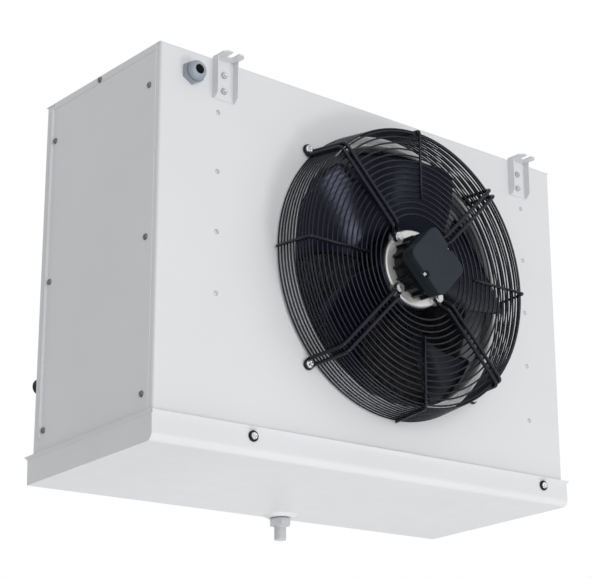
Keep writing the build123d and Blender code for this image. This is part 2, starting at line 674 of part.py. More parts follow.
def drain_pan():
    """Folded sheet pan with a flared, notched lip and a sump round the drain."""
    shell = pan_body(0, PAN_TOP) - pan_body(PAN_T, PAN_TOP + 5)
    z0, z1 = PAN_TOP - LIP, PAN_TOP
    mid_x, mid_y = (PAN_X0 + PAN_X1) / 2, (PAN_Y0 + PAN_Y1) / 2
    width, depth = PAN_X1 - PAN_X0, PAN_Y1 - PAN_Y0
    shell -= slab(PAN_X0 - 1, PAN_X1 + 1, PAN_Y0 - 1, PAN_Y1 + 1, z0, z1 + 1)
    flare = 2 * LIP
    lip = frustum(mid_x, mid_y, z0, (width, depth), z1, (width + flare, depth + flare))
    thin = 2 * PAN_T
    lip -= frustum(mid_x, mid_y, z0 - 1, (width - thin - 2, depth - thin - 2),
                   z1 + 1, (width + flare - thin + 2, depth + flare - thin + 2))
    shell += lip
    for x, left in ((PAN_X0, True), (PAN_X1, False)):
        for y, front in ((PAN_Y0, True), (PAN_Y1, False)):
            turn = 45 if left == front else -45
            shell -= Pos(x, y, z1 + 1) * Rot(0, 0, turn) * Box(20, 3, 2 * LIP)
    for x, z in pan_screw_spots():
        shell -= rod_y(x, z, PAN_Y0 - 1, PAN_Y0 + 3, 2.4)
    for x in HINGE_XS:
        shell -= slab(x - 22, x + 22, PAN_Y1 + 0.3, PAN_Y1 + LIP + 2, z0 - 1, z1 + 1)
    floor = PAN_TOP - PAN_H
    drain_y = PAN_Y0 + (DRAIN_Y - PAN_Y0 + PAN_H * TILT_SIN) / TILT_COS
    shell += sump_cone(DRAIN_X, drain_y, floor + PAN_T / 2, floor - SUMP_H, 0)
    shell -= sump_cone(DRAIN_X, drain_y, floor + PAN_T + 0.5, floor - SUMP_H + PAN_T, PAN_T)
    return tilted(shell) - rod_z(DRAIN_X, DRAIN_Y, PAN_TOP - 100, PAN_TOP - 30, DRAIN_NECK_R)


def sump_height():
    """Height of the sump's flat underside at the drain."""
    return PAN_TOP - PAN_H / TILT_COS - (DRAIN_Y - PAN_Y0) * TILT_SIN / TILT_COS - SUMP_H


def drain_spigot():
    """Threaded plastic drain outlet, flanged inside the pan and open right through."""
    under = sump_height()
    spigot = rod_z(DRAIN_X, DRAIN_Y, under - DRAIN_DROP, under - DRAIN_DROP + DRAIN_FREE, DRAIN_R)
    spigot += rod_z(DRAIN_X, DRAIN_Y, under - DRAIN_DROP + DRAIN_FREE, under + PAN_T + 2, DRAIN_NECK_R)
    spigot += rod_z(DRAIN_X, DRAIN_Y, under + PAN_T + 1.2, under + PAN_T + 3.5, DRAIN_NECK_R + 4)
    return spigot - rod_z(DRAIN_X, DRAIN_Y, under - 60, under + 20, DRAIN_BORE_R)


def drain_nut():
    """Hexagonal nut with a round collar that pulls the drain outlet tight under the pan."""
    under = sump_height()
    nut = Pos(DRAIN_X, DRAIN_Y, under - 14) * extrude(RegularPolygon(NUT_R, 6), 9)
    nut += rod_z(DRAIN_X, DRAIN_Y, under - 5, under - 3, NUT_R - 1)
    return nut - rod_z(DRAIN_X, DRAIN_Y, under - 40, under + 20, DRAIN_NECK_R)


def drain_gasket():
    """Rubber ring between the nut and the pan."""
    under = sump_height()
    ring = rod_z(DRAIN_X, DRAIN_Y, under - 3, under - 0.9, NUT_R - 2.5)
    return ring - rod_z(DRAIN_X, DRAIN_Y, under - 40, under + 20, DRAIN_NECK_R)


def pan_screw_spots():
    """Places of the two screws in the pan's front wall."""
    return [(LEFT + 184, PAN_TOP - 15), (RIGHT - 58, PAN_TOP - 15)]


def pan_screws():
    """Two pan-head screws, their short shanks backed out of the casing."""
    screws = []
    for x, z in pan_screw_spots():
        place = outward(x, PAN_Y0 - 2.5, z, (0, -1, 0))
        screws.append(tilted(place * screw_head(6, 3.4) + place * Pos(0, 0, -3) * Cylinder(2.4, 6)))
    return screws


def pan_washers():
    """Rubber sealing washers under the pan screws."""
    washers = []
    for x, z in pan_screw_spots():
        washer = rod_y(x, z, PAN_Y0 - 2.5, PAN_Y0, 9)
        washers.append(tilted(washer - rod_y(x, z, PAN_Y0 - 10, PAN_Y0 + 10, 2.4)))
    return washers


def pan_knuckles():
    """Rolled hinge knuckles on the pan's rear wall."""
    knuckles = []
    y, z = PAN_Y1 + HINGE_BACK, PAN_TOP - HINGE_DROP
    outer = HINGE_PIN_R + 1.6
    for x in HINGE_XS:
        leaf = slab(x - 14, x + 14, PAN_Y1, PAN_Y1 + 1.6, z - 26, z)
        arm = slab(x - 14, x + 14, PAN_Y1, y, z - outer, z - HINGE_PIN_R)
        knuckle = rod_x(y, z, x - 14, x + 14, outer) + leaf + arm
        knuckles.append(tilted(knuckle - rod_x(y, z, x - 20, x + 20, HINGE_PIN_R + RUNNING)))
    return knuckles


def hinge_brackets():
    """Rear hinge brackets: a leaf on the casing and two ears that hold each pin."""
    brackets = []
    for x in HINGE_XS:
        bracket = slab(x - 21, x + 21, REAR, REAR + 2, BOTTOM + 2, BOTTOM + 44)
        for edge in (-1, 1):
            ear_x = x + edge * 18
            bracket += slab(ear_x - 1.5, ear_x + 1.5, REAR, HINGE_Y + 6, BOTTOM + 2, BOTTOM + 16)
            bracket += slab(ear_x - 1.5, ear_x + 1.5, HINGE_Y - 1, HINGE_Y + 6, HINGE_Z - 4.5, BOTTOM + 4)
        bracket -= rod_x(HINGE_Y, HINGE_Z, x - 30, x + 30, HINGE_PIN_R)
        brackets.append(bracket)
    return brackets


def hinge_pins():
    """Two hinge pins along X."""
    return [rod_x(HINGE_Y, HINGE_Z, x - 22, x + 22, HINGE_PIN_R) for x in HINGE_XS]


# ---- output -------------------------------------------------------------------------------
NODES = {
    "front_panel": front_panel,
    "top_panel": top_panel,
    "left_cover": lambda: side_cover(-1),
    "right_cover": lambda: side_cover(1),
    "rear_left_panel": lambda: rear_panel(-1),
    "rear_right_panel": lambda: rear_panel(1),
    "left_bulkhead": lambda: bulkhead(-1),
    "right_bulkhead": lambda: bulkhead(1),
    "panel_rivets": panel_rivets,
    "cover_screws": cover_screws,
    "top_screws": top_screws,
    "hanger_front_left": lambda: hanger(-1, True),
    "hanger_front_right": lambda: hanger(1, True),
    "hanger_rear_left": lambda: hanger(-1, False),
    "hanger_rear_right": lambda: hanger(1, False),
    "hanger_screws": hanger_screws,
    "cable_gland": gland_body,
    "gland_cap": gland_cap,
    "coil_fins": coil_fins,
    "coil_tubes": coil_tubes,
    "return_bends_left": lambda: return_bends(-1),
    "return_bends_right": lambda: return_bends(1),
    "suction_pipe": suction_pipe,
    "pipe_grommet": pipe_grommet,
    "pipe_cap": pipe_cap,
    "guard_face_rings": guard_face_rings,
    "guard_wall_rings": guard_wall_rings,
    "guard_spokes": guard_spokes,
    "guard_arms": guard_arms,
    "guard_screws": guard_screws,
    "arm_screws": arm_screws,
    "motor_flange": motor_flange,
    "motor_cap": motor_cap,
    "stator_core": stator_core,
    "shaft_bearings": shaft_bearings,
    "rotor_cup": rotor_cup,
    "rotor_shaft": rotor_shaft,
    "impeller": impeller,
    "terminal_box": terminal_box,
    "terminal_lid": terminal_lid,
    "terminal_screws": terminal_screws,
    "drain_pan": drain_pan,
    "drain_spigot": drain_spigot,
    "drain_nut": drain_nut,
    "drain_gasket": drain_gasket,
    "pan_screws": pan_screws,
    "pan_washers": pan_washers,
    "pan_knuckles": pan_knuckles,
    "hinge_brackets": hinge_brackets,
    "hinge_pins": hinge_pins,
}

os.makedirs("parts", exist_ok=True)
for node, make in NODES.items():
    shape = make()
    if isinstance(shape, list):
        shape = Compound(children=shape)
    export_step(shape, f"parts/{node}.step")
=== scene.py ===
"""Looks of the ceiling-hung unit cooler: finishes, round guard wires, finned coil, screws, light and camera."""
import json
import math
import random

import bmesh
import bpy
from mathutils import Matrix, Vector


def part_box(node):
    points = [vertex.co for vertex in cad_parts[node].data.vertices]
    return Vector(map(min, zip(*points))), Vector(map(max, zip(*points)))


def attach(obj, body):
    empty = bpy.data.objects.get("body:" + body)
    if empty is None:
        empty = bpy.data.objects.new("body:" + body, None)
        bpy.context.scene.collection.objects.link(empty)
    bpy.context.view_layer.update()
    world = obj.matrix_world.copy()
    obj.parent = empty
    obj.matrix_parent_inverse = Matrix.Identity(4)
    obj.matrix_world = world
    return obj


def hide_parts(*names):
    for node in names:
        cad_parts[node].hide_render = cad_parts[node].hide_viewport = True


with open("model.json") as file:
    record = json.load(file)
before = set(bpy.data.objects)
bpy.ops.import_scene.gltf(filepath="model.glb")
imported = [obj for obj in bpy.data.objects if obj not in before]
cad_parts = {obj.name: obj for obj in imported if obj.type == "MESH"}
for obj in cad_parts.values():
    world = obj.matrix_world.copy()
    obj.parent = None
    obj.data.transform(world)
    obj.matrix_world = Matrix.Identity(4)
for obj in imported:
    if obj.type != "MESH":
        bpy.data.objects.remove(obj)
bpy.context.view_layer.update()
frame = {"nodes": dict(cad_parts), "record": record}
MM = 0.001


# ---- material helpers ---------------------------------------------------------------------
BEVEL_SAMPLES = 4
BUMP_DEPTH = 0.2 * MM
ROUNDED_EDGE = 0.6 * MM     # how far shading rounds an edge of the CAD's sharp sheets
WEAR_AND_SHADE_REACH = 1.2 * MM        # how far the edge tint reaches from an edge: wear, and painted shade on rivet and screw rims
GLOSS_SPREAD = (0.85, 1.15)


def new_material(name):
    """Empty node material with its principled shader."""
    mat = bpy.data.materials.new(name)
    mat.use_nodes = True
    return mat, mat.node_tree.nodes, mat.node_tree.links, mat.node_tree.nodes["Principled BSDF"]


def noise(nodes, links, coord, scale, detail):
    """Noise texture in object space."""
    tex = nodes.new("ShaderNodeTexNoise")
    tex.inputs["Scale"].default_value = scale
    tex.inputs["Detail"].default_value = detail
    links.new(coord.outputs["Object"], tex.inputs["Vector"])
    return tex.outputs["Fac"]


def spread(nodes, links, value, low, high):
    """Maps the middle of a noise to a range."""
    ramp = nodes.new("ShaderNodeMapRange")
    ramp.inputs["From Min"].default_value = 0.3
    ramp.inputs["From Max"].default_value = 0.7
    ramp.inputs["To Min"].default_value = low
    ramp.inputs["To Max"].default_value = high
    links.new(value, ramp.inputs["Value"])
    return ramp.outputs["Result"]


def edge_mask(nodes, links, radius):
    """1 on convex and concave edges, 0 on flat faces."""
    bevel = nodes.new("ShaderNodeBevel")
    bevel.samples = BEVEL_SAMPLES
    bevel.inputs["Radius"].default_value = radius
    geometry = nodes.new("ShaderNodeNewGeometry")
    dot = nodes.new("ShaderNodeVectorMath")
    dot.operation = "DOT_PRODUCT"
    links.new(bevel.outputs["Normal"], dot.inputs[0])
    links.new(geometry.outputs["Normal"], dot.inputs[1])
    mask = nodes.new("ShaderNodeMapRange")
    mask.inputs["From Min"].default_value = 0.995
    mask.inputs["From Max"].default_value = 0.8
    links.new(dot.outputs["Value"], mask.inputs["Value"])
    return mask.outputs["Result"]


def blend_colour(nodes, links, factor, first, second):
    """Mix of two colours, each a constant or a socket."""
    mix = nodes.new("ShaderNodeMix")
    mix.data_type = "RGBA"
    links.new(factor, mix.inputs["Factor"])
    for value, socket in ((first, mix.inputs["A"]), (second, mix.inputs["B"])):
        if isinstance(value, tuple):
            socket.default_value = (*value, 1)
        else:
            links.new(value, socket)
    return mix.outputs["Result"]


def bumped(nodes, links, shader, height, strength, round_edge):
    """Bump on the shader, over edges softened by a bevel."""
    bump = nodes.new("ShaderNodeBump")
    bump.inputs["Strength"].default_value = strength
    bump.inputs["Distance"].default_value = BUMP_DEPTH
    links.new(height, bump.inputs["Height"])
    bevel = nodes.new("ShaderNodeBevel")
    bevel.samples = BEVEL_SAMPLES
    bevel.inputs["Radius"].default_value = round_edge
    links.new(bevel.outputs["Normal"], bump.inputs["Normal"])
    links.new(bump.outputs["Normal"], shader.inputs["Normal"])


def scaled(colour, factor):
    """Colour made lighter or darker."""
    return tuple(min(1.0, channel * factor) for channel in colour)


def finish_material(name, colour, roughness, metallic=0.0, grain=900.0, grain_strength=0.15,
                    cloud=4.0, cloud_range=(0.96, 1.03), wear_and_shade=1.0, specular=0.5, tint=(1, 1, 1)):
    """Surface with clouded colour, edges tinted by a factor (lighter for wear, darker for painted shade round
    rivet and screw heads), uneven gloss and a fine grain.
    """
    mat, nodes, links, shader = new_material(name)
    coord = nodes.new("ShaderNodeTexCoord")
    clouds = spread(nodes, links, noise(nodes, links, coord, cloud, 4.0), 0.0, 1.0)
    body = blend_colour(nodes, links, clouds, scaled(colour, cloud_range[0]), scaled(colour, cloud_range[1]))
    # edge tint: above 1 it lightens worn edges, below 1 it darkens the rims as painted shade
    if wear_and_shade != 1.0:
        body = blend_colour(nodes, links, edge_mask(nodes, links, WEAR_AND_SHADE_REACH), body, scaled(colour, wear_and_shade))
    links.new(body, shader.inputs["Base Color"])
    patches = noise(nodes, links, coord, cloud * 9, 5.0)
    gloss = spread(nodes, links, patches, roughness * GLOSS_SPREAD[0], roughness * GLOSS_SPREAD[1])
    links.new(gloss, shader.inputs["Roughness"])
    shader.inputs["Metallic"].default_value = metallic
    shader.inputs["Specular IOR Level"].default_value = specular
    shader.inputs["Specular Tint"].default_value = (*tint, 1)
    fine = noise(nodes, links, coord, grain, 2.0)
    bumped(nodes, links, shader, fine, grain_strength, ROUNDED_EDGE)
    return mat


def galvanised(name):
    """Zinc-coated sheet with spangles."""
    mat, nodes, links, shader = new_material(name)
    coord = nodes.new("ShaderNodeTexCoord")
    cells = nodes.new("ShaderNodeTexVoronoi")
    cells.inputs["Scale"].default_value = 70
    links.new(coord.outputs["Object"], cells.inputs["Vector"])
    tone = nodes.new("ShaderNodeSeparateColor")
    links.new(cells.outputs["Color"], tone.inputs["Color"])
    body = blend_colour(nodes, links, tone.outputs["Red"], (0.42, 0.43, 0.44), (0.60, 0.61, 0.62))
    links.new(body, shader.inputs["Base Color"])
    gloss = nodes.new("ShaderNodeMapRange")
    gloss.inputs["To Min"].default_value = 0.3
    gloss.inputs["To Max"].default_value = 0.5
    links.new(tone.outputs["Green"], gloss.inputs["Value"])
    links.new(gloss.outputs["Result"], shader.inputs["Roughness"])
    shader.inputs["Metallic"].default_value = 0.85
    bumped(nodes, links, shader, noise(nodes, links, coord, 400, 2.0), 0.1, 0.5 * MM)
    return mat


MATERIALS = {
    "casing_paint": finish_material("casing_paint", (0.72, 0.73, 0.745), 0.42, grain=1400, grain_strength=0.12,
                                    cloud=3.0, cloud_range=(0.975, 1.015), wear_and_shade=1.06),
    "galvanised": galvanised("galvanised"),
    "wire_black": finish_material("wire_black", (0.0045, 0.005, 0.007), 0.24, grain=500, grain_strength=0.25,
                                  cloud=25, cloud_range=(0.7, 1.4), specular=0.28, tint=(0.8, 0.84, 1.0)),
    "blade_black": finish_material("blade_black", (0.0028, 0.0035, 0.008), 0.2, grain=350, grain_strength=0.1,
                                   cloud=8, cloud_range=(0.8, 1.3), specular=0.24, tint=(0.66, 0.7, 1.0)),
    "motor_alu": finish_material("motor_alu", (0.70, 0.70, 0.69), 0.36, metallic=0.75, grain=700,
                                 grain_strength=0.3, cloud=30, cloud_range=(0.88, 1.08), wear_and_shade=1.1),
    "motor_black": finish_material("motor_black", (0.004, 0.0045, 0.006), 0.35, grain=600, grain_strength=0.3,
                                   cloud=20, cloud_range=(0.8, 1.3), specular=0.14),
    "box_plastic": finish_material("box_plastic", (0.022, 0.028, 0.035), 0.5, grain=1600, grain_strength=0.35,
                                   cloud=14, cloud_range=(0.9, 1.12), wear_and_shade=1.4, specular=0.12),
    # rims darkened to 0.6: painted shade, the dark outline round rivet and hanger screw heads
    "rivet_alu": finish_material("rivet_alu", (0.50, 0.51, 0.53), 0.4, metallic=0.6, grain=900,
                                 grain_strength=0.2, cloud=60, cloud_range=(0.85, 1.1), wear_and_shade=0.6),
    "seal_pale": finish_material("seal_pale", (0.52, 0.53, 0.54), 0.6, grain=1200, grain_strength=0.3,
                                 cloud=40, cloud_range=(0.92, 1.05)),
    "dark_zinc": finish_material("dark_zinc", (0.16, 0.16, 0.165), 0.34, metallic=0.9, grain=900,
                                 grain_strength=0.2, cloud=60, cloud_range=(0.8, 1.25), wear_and_shade=1.5),
    "zinc": finish_material("zinc", (0.62, 0.62, 0.63), 0.28, metallic=0.9, grain=900, grain_strength=0.2,
                            cloud=60, cloud_range=(0.85, 1.1), wear_and_shade=1.15),
    "rubber_black": finish_material("rubber_black", (0.008, 0.008, 0.0085), 0.6, grain=1200, grain_strength=0.4,
                                    cloud=40, cloud_range=(0.8, 1.3), specular=0.2),
    "gland_grey": finish_material("gland_grey", (0.30, 0.34, 0.39), 0.42, grain=1500, grain_strength=0.25,
                                  cloud=30, cloud_range=(0.93, 1.07), wear_and_shade=1.15),
    "drain_plastic": finish_material("drain_plastic", (0.56, 0.57, 0.58), 0.4, grain=1200, grain_strength=0.2,
                                     cloud=25, cloud_range=(0.95, 1.03), wear_and_shade=1.06),
    "fin_alu": finish_material("fin_alu", (0.66, 0.67, 0.68), 0.35, metallic=0.9, grain=900,
                               grain_strength=0.3, cloud=12, cloud_range=(0.9, 1.06)),
    "copper": finish_material("copper", (0.72, 0.36, 0.22), 0.3, metallic=0.95, grain=500, grain_strength=0.2,
                              cloud=18, cloud_range=(0.7, 1.1)),
    "bearing_steel": finish_material("bearing_steel", (0.5, 0.5, 0.51), 0.25, metallic=0.95, grain=800,
                                     grain_strength=0.1, cloud=30, cloud_range=(0.9, 1.05)),
}

for part in frame["record"]["subparts"]:
    mesh = frame["nodes"][part["node"]].data
    mesh.materials.clear()
    mesh.materials.append(MATERIALS[part["material_slot"]])
frame["nodes"]["drain_gasket"].data.materials[0] = MATERIALS["seal_pale"]


# ---- mesh helpers -------------------------------------------------------------------------
def add_mesh(name, verts, faces, slot, body, replaced=(), smooth=True, look=None):
    """Mesh piece in the row frame that rides on a body."""
    mesh = bpy.data.meshes.new(name)
    mesh.from_pydata([tuple(v) for v in verts], [], faces)
    mesh.validate()
    piece = bpy.data.objects.new(name, mesh)
    bpy.context.collection.objects.link(piece)
    mesh.materials.append(MATERIALS[look or slot])
    if smooth:
        mesh.polygons.foreach_set("use_smooth", [True] * len(mesh.polygons))
    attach(piece, body)
    if replaced:
        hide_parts(*replaced)
    return piece


def join(parts):
    """Vertices and faces of several (verts, faces) pairs as one."""
    verts, faces = [], []
    for part_verts, part_faces in parts:
        base = len(verts)
        verts += part_verts
        faces += [tuple(base + i for i in face) for face in part_faces]
    return verts, faces


def tube(points, radius, closed=False, sides=10):
    """Round wire along points, with flat ends where it is open."""
    count = len(points)
    verts, faces = [], []
    up = None
    for i, point in enumerate(points):
        before = points[i - 1] if closed or i else point
        after = points[(i + 1) % count] if closed or i < count - 1 else point
        along = (after - before).normalized()
        if up is None:
            up = along.orthogonal().normalized()
        up = (up - along * up.dot(along)).normalized()
        side = along.cross(up)
        for k in range(sides):
            turn = 2 * math.pi * k / sides
            verts.append(point + (up * math.cos(turn) + side * math.sin(turn)) * radius)
    for i in range(count if closed else count - 1):
        low, high = i * sides, ((i + 1) % count) * sides
        for k in range(sides):
            nxt = (k + 1) % sides
            faces.append((low + k, low + nxt, high + nxt, high + k))
    if not closed:
        faces.append(tuple(reversed(range(sides))))
        faces.append(tuple(range((count - 1) * sides, count * sides)))
    return verts, faces


def rounded(corners, radius, steps=8):
    """Route through corners with each inner corner turned on an arc."""
    route = [corners[0]]
    for before, corner, after in zip(corners, corners[1:], corners[2:]):
        back, ahead = (before - corner).normalized(), (after - corner).normalized()
        half = back.angle(ahead) / 2
        reach = min(radius / math.tan(half), (before - corner).length * 0.45, (after - corner).length * 0.45)
        first, last = corner + back * reach, corner + ahead * reach
        for k in range(steps + 1):
            t = k / steps
            route.append(first * (1 - t) ** 2 + corner * 2 * t * (1 - t) + last * t ** 2)
    route.append(corners[-1])
    return route


def facing(point, direction, turn=0.0):
    """Placement at a point with its local +Z along a direction."""
    rotation = Vector(direction).to_track_quat("Z", "Y").to_matrix().to_4x4()
    return Matrix.Translation(point) @ rotation @ Matrix.Rotation(turn, 4, "Z")


def polar(place, rows, sides=36, hexed=False, cross=0.0, ribs=0):
    """Turned form with an optional hexagonal outline, cross recess or ribbed flank."""
    verts, faces = [], []
    for radius, height, shaped in rows:
        for k in range(sides):
            turn = 2 * math.pi * k / sides
            reach, z = radius, height
            if hexed and shaped:
                reach = radius / math.cos((turn % (math.pi / 3)) - math.pi / 6)
            if ribs and shaped:
                reach -= radius * 0.045 * (0.5 - 0.5 * math.cos(ribs * turn)) ** 2
            x, y = reach * math.cos(turn), reach * math.sin(turn)
            if cross and not shaped and min(abs(x), abs(y)) < cross * 0.34 and reach < cross * 1.5:
                z -= cross * 0.55
            verts.append(place @ Vector((x, y, z)))
    for row in range(len(rows) - 1):
        for k in range(sides):
            nxt = (k + 1) % sides
            low_row, high_row = row * sides, (row + 1) * sides
            faces.append((low_row + k, low_row + nxt, high_row + nxt, high_row + k))
    faces.append(tuple(reversed(range(sides))))
    faces.append(tuple(range((len(rows) - 1) * sides, len(rows) * sides)))
    return verts, faces


def pan_head(place, radius, height):
    """Domed screw head with a cross recess."""
    rows = [(radius * 0.98, 0, True), (radius, height * 0.25, True), (radius * 0.93, height * 0.62, True),
            (radius * 0.8, height * 0.85, True)]
    for k in range(9):
        share = 0.72 * (1 - k / 8.5)
        rows.append((radius * share, height * (1 - 0.1 * share), False))
    return polar(place, rows, 32, cross=radius * 0.45)


def hex_head(place, radius, height):
    """Hexagon head with a chamfered, dished crown; the radius is across the corners."""
    flat = radius * math.cos(math.pi / 6)
    rows = [(flat, 0, True), (flat, height * 0.82, True), (flat * 0.93, height, False),
            (flat * 0.7, height, False), (flat * 0.6, height * 0.86, False), (0.0001, height * 0.84, False)]
    return polar(place, rows, 36, hexed=True)


def dome(place, radius, height):
    """Blind rivet head with the mandrel's pit."""
    rows = [(radius, 0, True), (radius * 0.97, height * 0.35, True), (radius * 0.8, height * 0.75, True),
            (radius * 0.5, height, False), (radius * 0.34, height, False), (radius * 0.3, height * 0.4, False),
            (0.0001, height * 0.4, False)]
    return polar(place, rows, 24)


def islands(name):
    """Boxes (low, high) of the separate solids of a CAD node."""
    node = frame["nodes"][name]
    grid = bmesh.new()
    grid.from_mesh(node.data)
    bmesh.ops.remove_doubles(grid, verts=grid.verts, dist=1e-5)
    left, boxes = set(grid.verts), []
    while left:
        stack, member = [left.pop()], []
        while stack:
            vert = stack.pop()
            member.append(node.matrix_world @ vert.co)
            for edge in vert.link_edges:
                other = edge.other_vert(vert)
                if other in left:
                    left.remove(other)
                    stack.append(other)
        boxes.append((Vector([min(v[i] for v in member) for i in range(3)]),
                      Vector([max(v[i] for v in member) for i in range(3)])))
    grid.free()
    return sorted(boxes, key=lambda box: tuple(round(c, 4) for c in box[0]))


def centre(low, high):
    """Middle of a box."""
    return (low + high) / 2


# ---- fan guard ----------------------------------------------------------------------------
WIRE = 1.55 * MM            # wire radii
SPOKE = 2.4 * MM
ARM = 3.2 * MM
CAD_WIRE = 1.3 * MM         # half the side of the CAD's square ring wire
WELD = 0.2 * MM             # how far a spoke or arm sinks into the rings
FACE_RINGS = 15
WALL_STEPS = 10             # gaps between the wall's rings
FIRST_WALL_STEP = 0.35      # the first wall ring's place, in gaps from the face
FACE_INNER = 92 * MM
RIM_R = 243 * MM            # where the face turns into the wall
ARM_HALF_GAP = 6.5 * MM

face_low, face_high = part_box("guard_face_rings")
wall_low, wall_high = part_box("guard_wall_rings")
flange_low, flange_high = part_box("motor_flange")
panel_low, panel_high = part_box("front_panel")
FAN = centre(face_low, face_high)
FAN.y = 0
FACE_R = (face_high.x - face_low.x) / 2 - CAD_WIRE
BASE_R = (wall_high.x - wall_low.x) / 2 - CAD_WIRE
FRONT_Y = face_low.y + CAD_WIRE
BASE_Y = wall_high.y - CAD_WIRE
PANEL_Y = panel_low.y
MOTOR_Y = flange_low.y


def around(radius, degrees, y, across=0.0):
    """Point about the fan axis, moved sideways from its radius by a distance."""
    turn = math.radians(degrees)
    radial = Vector((math.cos(turn), 0, math.sin(turn)))
    tangent = Vector((-math.sin(turn), 0, math.cos(turn)))
    return FAN + radial * radius + tangent * across + Vector((0, y, 0))


def ring_wire(radius, y):
    """One closed ring about the fan axis."""
    return tube([around(radius, 360 * k / 120, y) for k in range(120)], WIRE, closed=True, sides=8)


rings = [ring_wire(FACE_INNER + (FACE_R - FACE_INNER) * k / (FACE_RINGS - 1), FRONT_Y)
         for k in range(FACE_RINGS)]
add_mesh("guard_face_wires", *join(rings), "wire_black", "casing", ["guard_face_rings"])
rings = []
for k in range(WALL_STEPS + 1):
    share = (k + FIRST_WALL_STEP) / (WALL_STEPS + FIRST_WALL_STEP)
    rings.append(ring_wire(RIM_R + (BASE_R - RIM_R) * share, FRONT_Y + (BASE_Y - FRONT_Y) * share))
add_mesh("guard_wall_wires", *join(rings), "wire_black", "casing", ["guard_wall_rings"])

spokes = []
for degrees in (0, 90, 180, 270):
    lift = WIRE + SPOKE - WELD
    route = rounded([around(122 * MM, degrees, FRONT_Y - lift), around(RIM_R + lift, degrees, FRONT_Y - lift),
                     around(BASE_R + lift, degrees, BASE_Y)], 8 * MM)
    spokes.append(tube(route, SPOKE, sides=12))
add_mesh("guard_spoke_wires", *join(spokes), "wire_black", "casing", ["guard_spokes"])

arms = []
FOOT_R = BASE_R + 12 * MM
for degrees in (45, 135, 225, 315):
    lift = WIRE + ARM - WELD
    legs = []
    for across in (-ARM_HALF_GAP, ARM_HALF_GAP):
        legs.append(rounded([around(60 * MM, degrees, MOTOR_Y - ARM, across),
                             around(74 * MM, degrees, MOTOR_Y - ARM, across),
                             around(88 * MM, degrees, FRONT_Y - lift, across),
                             around(RIM_R + lift, degrees, FRONT_Y - lift, across),
                             around(BASE_R + lift, degrees, PANEL_Y - ARM, across),
                             around(FOOT_R, degrees, PANEL_Y - ARM, across)], 10 * MM))
    loop = []
    for k in range(1, 16):
        turn = math.pi * k / 16
        loop.append(around(FOOT_R + ARM_HALF_GAP * math.sin(turn), degrees, PANEL_Y - ARM,
                           -ARM_HALF_GAP * math.cos(turn)))
    arms.append(tube(legs[0] + loop + legs[1][::-1], ARM, sides=14))
add_mesh("guard_arm_wires", *join(arms), "wire_black", "casing", ["guard_arms"])


# ---- screws and rivets --------------------------------------------------------------------
def screw_set(name, node, body, direction, radius, height, make, slot="zinc", look=None):
    """Modelled heads in the places of a node's solids, each at its solid's outer face."""
    parts = []
    for low, high in islands(node):
        middle = centre(low, high)
        way = Vector(direction(middle))
        tip = Vector([high[i] if way[i] > 0.5 else low[i] if way[i] < -0.5 else middle[i] for i in range(3)])
        turn = random.uniform(0, math.pi)
        parts.append(make(facing(tip - way * height, way, turn), radius, height))
    add_mesh(name, *join(parts), slot, body, [node], look=look)


random.seed(7)
screw_set("cover_screw_heads", "cover_screws", "casing", lambda p: (-1 if p.x < 0 else 1, 0, 0),
          5.2 * MM, 2.6 * MM, pan_head, look="dark_zinc")
screw_set("top_screw_heads", "top_screws", "casing", lambda p: (0, 0, 1), 5.2 * MM, 2.6 * MM, pan_head,
          look="dark_zinc")
# hanger screw and rivet heads take rivet_alu, whose darkened rims are painted shade
screw_set("hanger_screw_heads", "hanger_screws", "casing", lambda p: (0, -1 if p.y < 0 else 1, 0),
          5.5 * MM, 4.0 * MM, hex_head, look="rivet_alu")
screw_set("panel_rivet_heads", "panel_rivets", "casing", lambda p: (0, -1, 0), 4.3 * MM, 1.5 * MM, dome,
          "casing_paint", look="rivet_alu")
screw_set("guard_screw_heads", "guard_screws", "casing", lambda p: (0, -1, 0), 7.0 * MM, 3.0 * MM, pan_head)
screw_set("lid_screw_heads", "terminal_screws", "casing", lambda p: (0, -1, 0), 3.6 * MM, 3.0 * MM, pan_head)
screw_set("pan_screw_heads", "pan_screws", "pan", lambda p: (0, -1, 0), 6.0 * MM, 3.4 * MM, pan_head)


# ---- impeller -----------------------------------------------------------------------------
SECTIONS = ((68.5, 84, 40, 66), (150, 146, 28, 78), (224.9, 214, 17, 89))  # radius, chord (mm), pitch, lead
CAMBER = 0.07
HALF_T = 1.2                # half thickness, mm
BLADES = 5
TIP_FROM = 209              # radius where the tip's corners start to round, mm
TIP_REACH = 16
hub_low, hub_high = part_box("impeller")
BLADE_Y = centre(hub_low, hub_high).y


def section(radius_mm):
    """Chord, pitch and middle angle at a radius, on a parabola through the three sections."""
    out = []
    for index in (1, 2, 3):
        total = 0
        for i, first in enumerate(SECTIONS):
            weight = 1
            for j, second in enumerate(SECTIONS):
                if i != j:
                    weight *= (radius_mm - second[0]) / (first[0] - second[0])
            total += first[index] * weight
        out.append(total)
    return out


